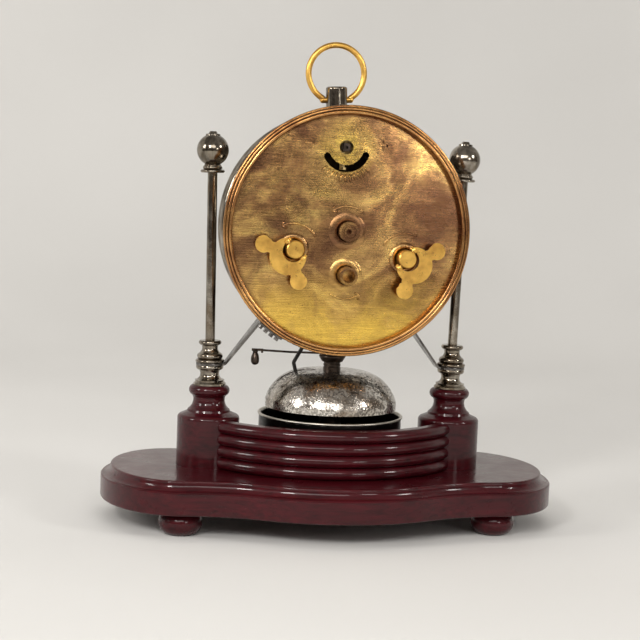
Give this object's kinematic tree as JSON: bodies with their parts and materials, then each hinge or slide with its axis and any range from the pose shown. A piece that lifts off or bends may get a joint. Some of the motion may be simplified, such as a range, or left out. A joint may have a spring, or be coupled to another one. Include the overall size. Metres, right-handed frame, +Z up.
{
  "type": "mechanical alarm clock",
  "caption": "Antique wind-up alarm clock: round metal drum between two ball-topped columns over a bell, on a serpentine lacquered wood base.",
  "frame": {"origin": "centre of the footprint, on the surface that the four feet stand on", "axes": "+Z up, X through the two columns, the dial faces -Y and the brass back with its winding keys faces +Y"},
  "size_m": [0.2142, 0.129, 0.2244],
  "materials": {
    "lacquered_wood": "deep maroon gloss lacquer",
    "nickel": "tarnished nickel plate",
    "dark_steel": "dark oxidised steel",
    "spotted_nickel": "nickel plate with dense corrosion specks",
    "cup_steel": "blackened inside, worn bright at the rim",
    "copper_rim": "polished copper-coloured brass",
    "aged_brass": "brushed brass with brown patina",
    "bright_brass": "satin golden brass",
    "movement_brass": "plain rolled brass",
    "spring_steel": "blued spring steel",
    "dial_enamel": "cream enamel with black markings",
    "hand_black": "black enamel",
    "clear_glass": "clear"
  },
  "bodies": {
    "frame": {"alarm_mainspring": "spring_steel", "back_cover": "aged_brass", "balance_screw": "dark_steel", "base_plate": "lacquered_wood", "bell_cup": "cup_steel", "bell_dome": "spotted_nickel", "bell_nut": "dark_steel", "bell_post": "dark_steel", "bracket_left": "nickel", "bracket_right": "nickel", "bracket_screws": "nickel", "bun_feet": "lacquered_wood", "column_collars": "nickel", "column_feet": "nickel", "column_rod_left": "nickel", "column_rod_right": "nickel", "dial": "dial_enamel", "dial_glass": "clear_glass", "drum_shell": "nickel", "finial_left": "nickel", "finial_right": "nickel", "front_bezel": "nickel", "hairspring": "spring_steel", "movement_back_plate": "movement_brass", "movement_front_plate": "movement_brass", "movement_pillars": "movement_brass", "pedestal_left": "lacquered_wood", "pedestal_right": "lacquered_wood", "pendant_knob": "nickel", "rear_rim": "copper_rim", "reeded_fence": "lacquered_wood", "rim_clip": "nickel", "time_mainspring": "spring_steel"},
    "ring": {"carrying_ring": "bright_brass"},
    "stop_lever_body": {"stop_lever": "dark_steel", "stop_lever_drop": "dark_steel"},
    "hammer_body": {"hammer": "dark_steel"},
    "centre_wheel_body": {"centre_wheel": "movement_brass"},
    "third_wheel_body": {"third_wheel": "movement_brass"},
    "fourth_wheel_body": {"fourth_wheel": "movement_brass"},
    "escape_wheel_body": {"escape_wheel": "movement_brass"},
    "pallet_body": {"pallet_lever": "dark_steel"},
    "balance_body": {"balance_wheel": "movement_brass"},
    "time_great_body": {"time_great_wheel": "movement_brass"},
    "alarm_great_body": {"alarm_great_wheel": "movement_brass"},
    "alarm_escape_body": {"alarm_escape_wheel": "movement_brass"},
    "minute_body": {"centre_arbor": "aged_brass", "minute_hand": "hand_black"},
    "hour_body": {"hour_wheel": "movement_brass", "hour_hand": "hand_black"},
    "minute_wheel_body": {"minute_wheel": "movement_brass"},
    "alarm_set_body": {"alarm_setting_arbor": "aged_brass", "alarm_hand": "hand_black"},
    "time_key_body": {"time_winding_arbor": "bright_brass", "time_key_pin": "bright_brass"},
    "alarm_key_body": {"alarm_winding_arbor": "bright_brass", "alarm_key_pin": "bright_brass"},
    "time_wing_body": {"time_key_wing": "bright_brass"},
    "alarm_wing_body": {"alarm_key_wing": "bright_brass"},
    "regulator_body": {"regulator_lever": "movement_brass"}
  },
  "joints": [
    {"name": "ring_swing", "type": "hinge", "parent": "frame", "child": "ring", "pos_m": [0.00292, 0, 0.19773], "axis": [0.9988, 0, -0.0489], "range_deg": [-85, 85]},
    {"name": "stop_lever_swing", "type": "hinge", "parent": "frame", "child": "stop_lever_body", "pos_m": [0, 0, 0.079], "axis": [0, 0, 1], "range_deg": [-50, 2]},
    {"name": "hammer_swing", "type": "hinge", "parent": "frame", "child": "hammer_body", "pos_m": [0.002, 0.0008, 0.102], "axis": [0, -1, 0], "range_deg": [-3, 4]},
    {"name": "third_wheel_spin", "type": "hinge", "parent": "frame", "child": "third_wheel_body", "pos_m": [0.01275, 0, 0.15084], "axis": [0, 1, 0], "continuous": true},
    {"name": "centre_wheel_spin", "type": "hinge", "parent": "frame", "child": "centre_wheel_body", "pos_m": [0, 0, 0.138], "axis": [0, 1, 0], "continuous": true},
    {"name": "time_great_spin", "type": "hinge", "parent": "frame", "child": "time_great_body", "pos_m": [0.0246, 0, 0.1293], "axis": [0, 1, 0], "continuous": true},
    {"name": "fourth_wheel_spin", "type": "hinge", "parent": "frame", "child": "fourth_wheel_body", "pos_m": [0.001, 0, 0.15848], "axis": [0, 1, 0], "continuous": true},
    {"name": "escape_wheel_spin", "type": "hinge", "parent": "frame", "child": "escape_wheel_body", "pos_m": [-0.01031, 0, 0.16252], "axis": [0, 1, 0], "continuous": true},
    {"name": "pallet_rock", "type": "hinge", "parent": "frame", "child": "pallet_body", "pos_m": [-0.00878, 0, 0.17147], "axis": [0, 1, 0], "range_deg": [-6, 6]},
    {"name": "balance_swing", "type": "hinge", "parent": "frame", "child": "balance_body", "pos_m": [0.00186, 0, 0.17596], "axis": [0, 1, 0], "range_deg": [-135, 135]},
    {"name": "alarm_great_spin", "type": "hinge", "parent": "frame", "child": "alarm_great_body", "pos_m": [-0.0272, 0, 0.1264], "axis": [0, 1, 0], "continuous": true},
    {"name": "alarm_escape_spin", "type": "hinge", "parent": "frame", "child": "alarm_escape_body", "pos_m": [-0.01296, 0, 0.11165], "axis": [0, 1, 0], "continuous": true},
    {"name": "minute_spin", "type": "hinge", "parent": "frame", "child": "minute_body", "pos_m": [0, 0, 0.138], "axis": [0, 1, 0], "continuous": true},
    {"name": "hour_spin", "type": "hinge", "parent": "frame", "child": "hour_body", "pos_m": [0, 0, 0.138], "axis": [0, 1, 0], "continuous": true},
    {"name": "minute_wheel_spin", "type": "hinge", "parent": "frame", "child": "minute_wheel_body", "pos_m": [-0.00877, 0, 0.14677], "axis": [0, 1, 0], "continuous": true},
    {"name": "alarm_set_spin", "type": "hinge", "parent": "frame", "child": "alarm_set_body", "pos_m": [0, 0, 0.118], "axis": [0, 1, 0], "continuous": true},
    {"name": "time_key_turn", "type": "hinge", "parent": "frame", "child": "time_key_body", "pos_m": [0.0246, 0, 0.1293], "axis": [0, 1, 0], "continuous": true},
    {"name": "alarm_key_turn", "type": "hinge", "parent": "frame", "child": "alarm_key_body", "pos_m": [-0.0272, 0, 0.1264], "axis": [0, 1, 0], "continuous": true},
    {"name": "time_key_fold", "type": "hinge", "parent": "time_key_body", "child": "time_wing_body", "pos_m": [0.0246, 0.0286, 0.1293], "axis": [0.7071, 0, 0.7071], "range_deg": [0, 90]},
    {"name": "alarm_key_fold", "type": "hinge", "parent": "alarm_key_body", "child": "alarm_wing_body", "pos_m": [-0.0272, 0.0286, 0.1264], "axis": [0.6157, 0, -0.788], "range_deg": [0, 90]},
    {"name": "regulator_swing", "type": "hinge", "parent": "frame", "child": "regulator_body", "pos_m": [0.00186, 0, 0.17596], "axis": [0, 1, 0], "range_deg": [-50, 50]}
  ],
  "couplings": [
    {"joint": "centre_wheel_spin", "follows": "time_great_spin", "ratio": -6.25},
    {"joint": "third_wheel_spin", "follows": "time_great_spin", "ratio": 50},
    {"joint": "fourth_wheel_spin", "follows": "time_great_spin", "ratio": -400},
    {"joint": "escape_wheel_spin", "follows": "time_great_spin", "ratio": 3733.3},
    {"joint": "alarm_escape_spin", "follows": "alarm_great_spin", "ratio": -8},
    {"joint": "minute_wheel_spin", "follows": "minute_spin", "ratio": -0.33333},
    {"joint": "hour_spin", "follows": "minute_spin", "ratio": 0.083333}
  ]
}
